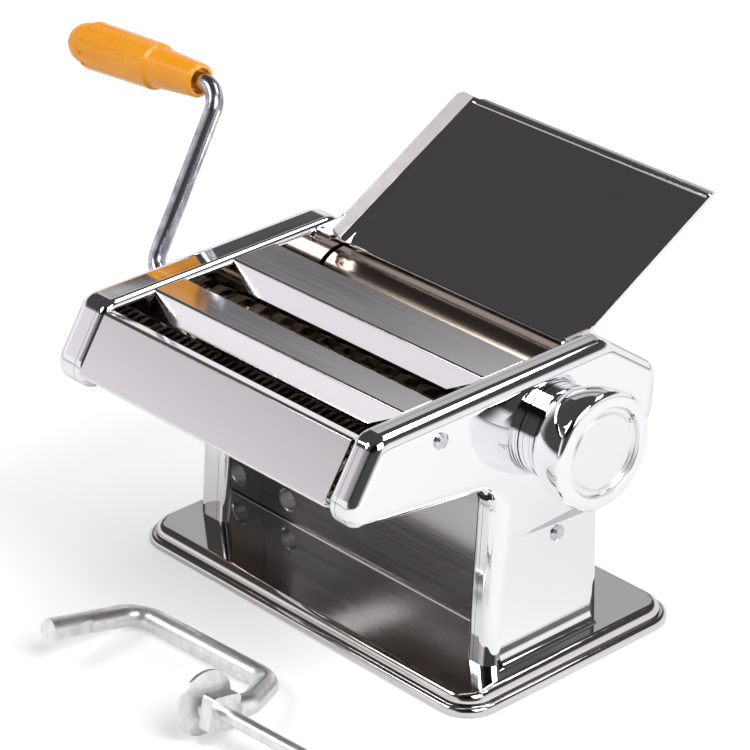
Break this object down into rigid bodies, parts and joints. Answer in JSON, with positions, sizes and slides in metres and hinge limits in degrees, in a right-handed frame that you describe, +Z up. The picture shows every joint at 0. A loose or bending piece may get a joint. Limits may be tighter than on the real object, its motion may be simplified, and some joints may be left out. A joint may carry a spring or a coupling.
{
  "type": "pasta roller machine",
  "caption": "Hand-cranked pasta machine: polished steel sides on a base, smooth rollers with a thickness knob, cutters under slots, tilted tray, orange-gripped crank, loose table clamp.",
  "frame": {"origin": "centre of the base on the table under the rubber feet", "axes": "+X along the rollers to the thickness knob, -Y front with the cutters, +Z up"},
  "size_m": [0.3546, 0.2877, 0.1954],
  "materials": {
    "chrome_side": "polished pressed steel with a mirror finish",
    "mirror_base": "polished pressed steel, darker reflections",
    "satin_panel": "bright rolled steel sheet",
    "tray_steel": "polished thin sheet",
    "zinc": "zinc-plated steel",
    "bush_plastic": "moulded bearing plastic",
    "cutter_brass": "dull straw-coloured steel",
    "roller_steel": "ground steel",
    "gear_steel": "sintered steel",
    "knob_chrome": "bright chrome",
    "knob_face": "pale satin disc",
    "foot_rubber": "matte black rubber",
    "rod_steel": "zinc-plated bent rod",
    "grip_orange": "glossy orange plastic"
  },
  "bodies": {
    "frame": {"base_plate": "mirror_base", "base_feet": "foot_rubber", "leg_screws": "zinc", "left_frame": "chrome_side", "right_frame": "chrome_side", "left_cover": "chrome_side", "right_cover": "chrome_side", "cover_screws": "zinc", "front_panel": "satin_panel", "front_hood": "satin_panel", "rear_hood": "satin_panel", "rear_panel": "satin_panel", "stand_panel": "mirror_base", "clamp_socket": "zinc", "tie_rods": "zinc", "tie_nuts": "zinc", "drive_bushes": "bush_plastic", "axle_bushes": "bush_plastic", "wide_bushes": "bush_plastic", "narrow_bushes": "bush_plastic", "narrow_combs": "cutter_brass", "wide_combs": "cutter_brass", "roller_scrapers": "zinc", "index_ring": "knob_chrome", "tray_pins": "tray_steel"},
    "drive": {"drive_roller": "roller_steel", "drive_gear": "gear_steel", "drive_socket_pin": "zinc"},
    "axle": {"thickness_axle": "roller_steel", "knob_washer": "zinc", "knob_spring": "zinc"},
    "sleeve": {"roller_sleeve": "roller_steel"},
    "adjust": {"adjust_roller": "roller_steel", "adjust_gear": "gear_steel"},
    "knob": {"knob_shell": "knob_chrome", "knob_face": "knob_face", "index_pin": "zinc"},
    "wide_rear": {"wide_rear_cutter": "cutter_brass", "wide_rear_gear": "gear_steel", "wide_socket_pin": "zinc"},
    "wide_front": {"wide_front_cutter": "cutter_brass", "wide_front_gear": "gear_steel"},
    "narrow_rear": {"narrow_rear_cutter": "cutter_brass", "narrow_rear_gear": "gear_steel", "narrow_socket_pin": "zinc"},
    "narrow_front": {"narrow_front_cutter": "cutter_brass", "narrow_front_gear": "gear_steel"},
    "crank": {"crank_rod": "rod_steel", "grip_washer": "zinc"},
    "grip": {"crank_grip": "grip_orange"},
    "tray": {"dough_tray": "tray_steel"},
    "clamp": {"clamp_rod": "rod_steel", "clamp_nut": "rod_steel"},
    "clamp_foot": {"clamp_pad": "rod_steel"},
    "clamp_spindle": {"clamp_screw": "rod_steel", "clamp_crossbar": "rod_steel"}
  },
  "joints": [
    {"name": "drive_turn", "type": "hinge", "parent": "frame", "child": "drive", "pos_m": [0, 0.03595, 0.1068], "axis": [1, 0, 0], "continuous": true},
    {"name": "thickness_turn", "type": "hinge", "parent": "frame", "child": "axle", "pos_m": [0, 0.0035, 0.1068], "axis": [1, 0, 0], "range_deg": [0, 180]},
    {"name": "knob_pull", "type": "slide", "parent": "axle", "child": "knob", "axis": [1, 0, 0], "range_m": [0, 0.005], "stiffness_N_per_m": 600, "deforming": ["knob_spring"]},
    {"name": "sleeve_turn", "type": "hinge", "parent": "axle", "child": "sleeve", "pos_m": [0, 0.00235, 0.1068], "axis": [1, 0, 0], "range_deg": [-180, 0]},
    {"name": "adjust_turn", "type": "hinge", "parent": "sleeve", "child": "adjust", "pos_m": [0, 0.00235, 0.1068], "axis": [1, 0, 0], "continuous": true},
    {"name": "wide_turn", "type": "hinge", "parent": "frame", "child": "wide_rear", "pos_m": [0, -0.02825, 0.111], "axis": [1, 0, 0], "continuous": true},
    {"name": "wide_follow", "type": "hinge", "parent": "frame", "child": "wide_front", "pos_m": [0, -0.04625, 0.111], "axis": [1, 0, 0], "continuous": true},
    {"name": "narrow_turn", "type": "hinge", "parent": "frame", "child": "narrow_rear", "pos_m": [0, -0.0705, 0.1106], "axis": [1, 0, 0], "continuous": true},
    {"name": "narrow_follow", "type": "hinge", "parent": "frame", "child": "narrow_front", "pos_m": [0, -0.0885, 0.1106], "axis": [1, 0, 0], "continuous": true},
    {"name": "crank_out", "type": "slide", "parent": "wide_rear", "child": "crank", "axis": [-1, 0, 0], "range_m": [0, 0.03]},
    {"name": "grip_turn", "type": "hinge", "parent": "crank", "child": "grip", "pos_m": [-0.133, 0.01641, 0.18682], "axis": [-0.9983, -0.0292, -0.0496], "continuous": true},
    {"name": "tray_tilt", "type": "hinge", "parent": "frame", "child": "tray", "pos_m": [0, 0.0249, 0.132], "axis": [1, 0, 0], "range_deg": [0, 120]},
    {"name": "clamp_lift", "type": "slide", "parent": "frame", "child": "clamp", "axis": [0, 0, 1], "range_m": [0, 0.06]},
    {"name": "clamp_feed", "type": "slide", "parent": "clamp", "child": "clamp_foot", "axis": [-0.9986, -0.0523, 0], "range_m": [0, 0.0551]},
    {"name": "clamp_spin", "type": "hinge", "parent": "clamp_foot", "child": "clamp_spindle", "pos_m": [-0.04691, -0.14831, 0.01477], "axis": [-0.9986, -0.0523, 0], "range_deg": [0, 9900]}
  ],
  "couplings": [
    {"joint": "sleeve_turn", "follows": "thickness_turn", "ratio": -1},
    {"joint": "adjust_turn", "follows": "drive_turn", "ratio": -1},
    {"joint": "wide_follow", "follows": "wide_turn", "ratio": -1},
    {"joint": "narrow_follow", "follows": "narrow_turn", "ratio": -1},
    {"joint": "clamp_feed", "follows": "clamp_spin", "m_per_rad": 0.00031831}
  ]
}
